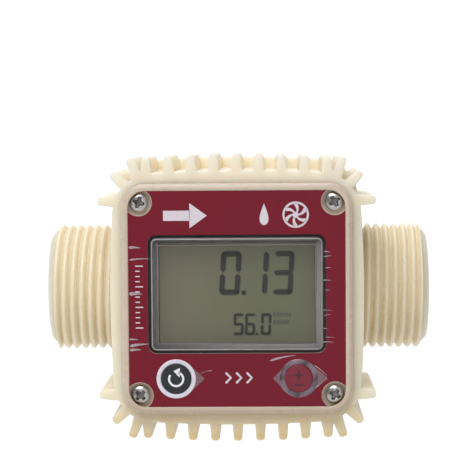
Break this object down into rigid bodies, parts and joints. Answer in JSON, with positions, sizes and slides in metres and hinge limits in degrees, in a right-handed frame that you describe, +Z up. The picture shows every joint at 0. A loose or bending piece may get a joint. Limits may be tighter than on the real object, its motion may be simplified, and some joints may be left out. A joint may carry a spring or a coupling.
{
  "type": "turbine flow meter",
  "caption": "Inline turbine flow meter: finned plastic housing between two male threaded ports, with a display, two keys and a bladed rotor inside.",
  "frame": {"origin": "centre of the pipe axis, midway between the two port faces", "axes": "+X along the pipe from the inlet to the outlet, -Y out of the display, +Z up as the display is read"},
  "size_m": [0.099, 0.0563, 0.0718],
  "materials": {
    "ivory_nylon": "moulded ivory nylon, satin",
    "cover_nylon": "moulded translucent nylon, satin",
    "label_film": "printed polyester film, satin",
    "zinc_steel": "bright zinc-plated steel",
    "clear_lens": "clear polycarbonate",
    "black_rubber": "matt",
    "silicone": "grey silicone",
    "display_glass": "reflective display glass",
    "black_plastic": "moulded black plastic",
    "black_key": "satin",
    "red_key": "satin",
    "green_board": "solder-masked glass laminate",
    "nickel_steel": "nickel-plated spring steel",
    "cell_sleeve": "printed sleeve on steel",
    "stainless": "ground stainless steel",
    "rotor_nylon": "moulded natural nylon",
    "straightener_nylon": "moulded natural nylon",
    "bearing_ceramic": "ground ceramic",
    "magnet_nickel": "nickel-plated magnet"
  },
  "bodies": {
    "housing": {"meter_body": "ivory_nylon", "front_cover": "cover_nylon", "cover_gasket": "silicone", "face_label": "label_film", "cover_screws": "zinc_steel", "display_lens": "clear_lens", "lens_gasket": "black_rubber", "lcd_panel": "display_glass", "lcd_frame": "black_plastic", "elastomer_strips": "silicone", "circuit_board": "green_board", "counter_chip": "black_plastic", "board_screws": "zinc_steel", "reset_switch": "black_plastic", "cal_switch": "black_plastic", "battery_tray": "black_plastic", "battery_cells": "cell_sleeve", "battery_plates": "nickel_steel", "battery_springs": "nickel_steel", "flow_sensor": "black_plastic", "inlet_bearing": "bearing_ceramic", "outlet_bearing": "bearing_ceramic", "inlet_straightener": "straightener_nylon", "outlet_straightener": "straightener_nylon", "inlet_retaining_ring": "stainless", "outlet_retaining_ring": "stainless"},
    "rotor": {"turbine_rotor": "rotor_nylon", "rotor_magnets": "magnet_nickel", "rotor_shaft": "stainless"},
    "reset_key": {"reset_button": "black_key"},
    "cal_key": {"cal_button": "red_key"}
  },
  "joints": [
    {"name": "rotor_spin", "type": "hinge", "parent": "housing", "child": "rotor", "pos_m": [0, 0, 0], "axis": [1, 0, 0], "continuous": true},
    {"name": "reset_press", "type": "slide", "parent": "housing", "child": "reset_key", "axis": [0, 1, 0], "range_m": [0, 0.0006], "stiffness_N_per_m": 1000, "springref_m": -0.0004},
    {"name": "cal_press", "type": "slide", "parent": "housing", "child": "cal_key", "axis": [0, 1, 0], "range_m": [0, 0.0006], "stiffness_N_per_m": 1000, "springref_m": -0.0004}
  ]
}
